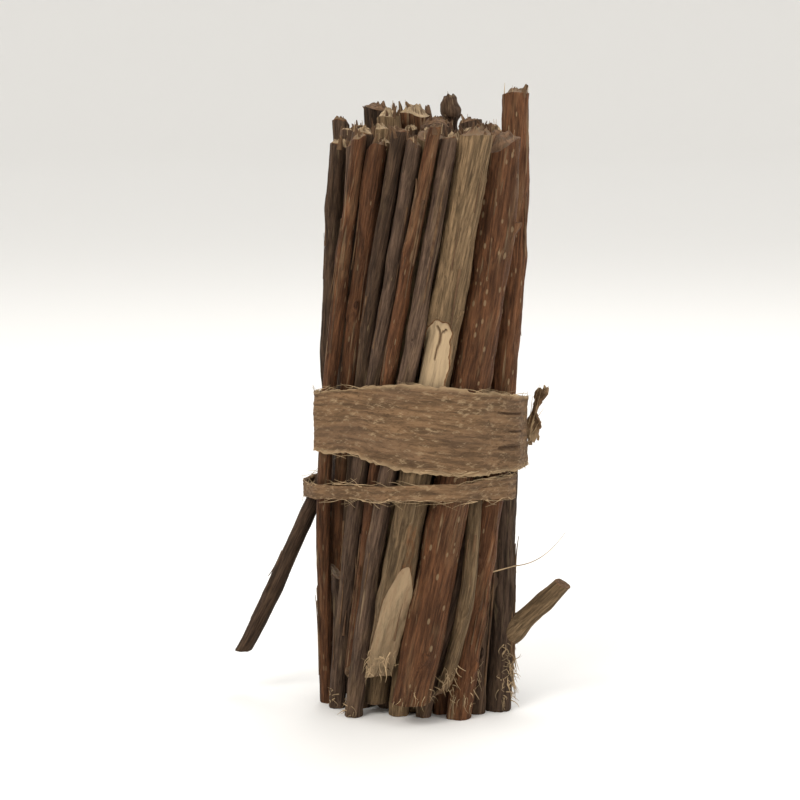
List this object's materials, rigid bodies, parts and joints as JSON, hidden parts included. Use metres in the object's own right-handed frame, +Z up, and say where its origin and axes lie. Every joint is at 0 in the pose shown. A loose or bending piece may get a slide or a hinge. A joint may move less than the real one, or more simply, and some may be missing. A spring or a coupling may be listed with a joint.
{
  "type": "bundle of twigs",
  "caption": "Small bundle of short, cut, mixed twigs held by a flat torn strip of bast, standing upright on its cut ends.",
  "frame": {"origin": "on the surface the bundle stands on, under the middle of its bounding box", "axes": "+Z up along the twigs, -Y towards the front where the wide turn of the band shows, +X to the right"},
  "size_m": [0.0542, 0.0352, 0.0982],
  "materials": {
    "bark_red": "reddish-brown bark with pale lenticels",
    "bark_olive": "olive-grey smooth bark",
    "bark_grey": "grey-brown dusty bark",
    "bark_dark": "dark brown bark",
    "bast": "tan fibrous bast"
  },
  "bodies": {
    "root": {"stray_twig": "bark_dark", "left_twig": "bark_grey", "left_front_twig": "bark_red", "slim_twig_1": "bark_dark", "slim_twig_2": "bark_grey", "slim_twig_3": "bark_red", "slim_twig_4": "bark_grey", "pale_twig": "bark_olive", "red_twig": "bark_red", "right_slim_twig": "bark_olive", "edge_twig": "bark_red", "shoot_twig": "bark_grey", "knob_twig": "bark_dark", "side_shoot": "bark_olive", "thick_twig_1": "bark_grey", "thick_twig_2": "bark_dark", "thick_twig_3": "bark_red", "thick_twig_4": "bark_olive", "thick_twig_5": "bark_grey", "thick_twig_6": "bark_red", "thick_twig_7": "bark_grey", "middling_twig_1": "bark_dark", "middling_twig_2": "bark_dark", "middling_twig_3": "bark_dark", "middling_twig_4": "bark_olive", "middling_twig_5": "bark_olive", "middling_twig_6": "bark_grey", "middling_twig_7": "bark_grey", "middling_twig_8": "bark_olive", "middling_twig_9": "bark_olive", "middling_twig_10": "bark_red", "middling_twig_11": "bark_dark", "middling_twig_12": "bark_olive", "thin_twig_1": "bark_grey", "thin_twig_2": "bark_grey", "thin_twig_3": "bark_dark", "thin_twig_4": "bark_grey", "thin_twig_5": "bark_dark", "thin_twig_6": "bark_olive", "thin_twig_7": "bark_grey", "thin_twig_8": "bark_red", "thin_twig_9": "bark_olive", "thin_twig_10": "bark_red", "thin_twig_11": "bark_grey", "thin_twig_12": "bark_grey", "thin_twig_13": "bark_red", "thin_twig_14": "bark_olive", "thin_twig_15": "bark_grey", "thin_twig_16": "bark_grey", "thin_twig_17": "bark_dark", "bast_band": "bast"}
  },
  "joints": []
}
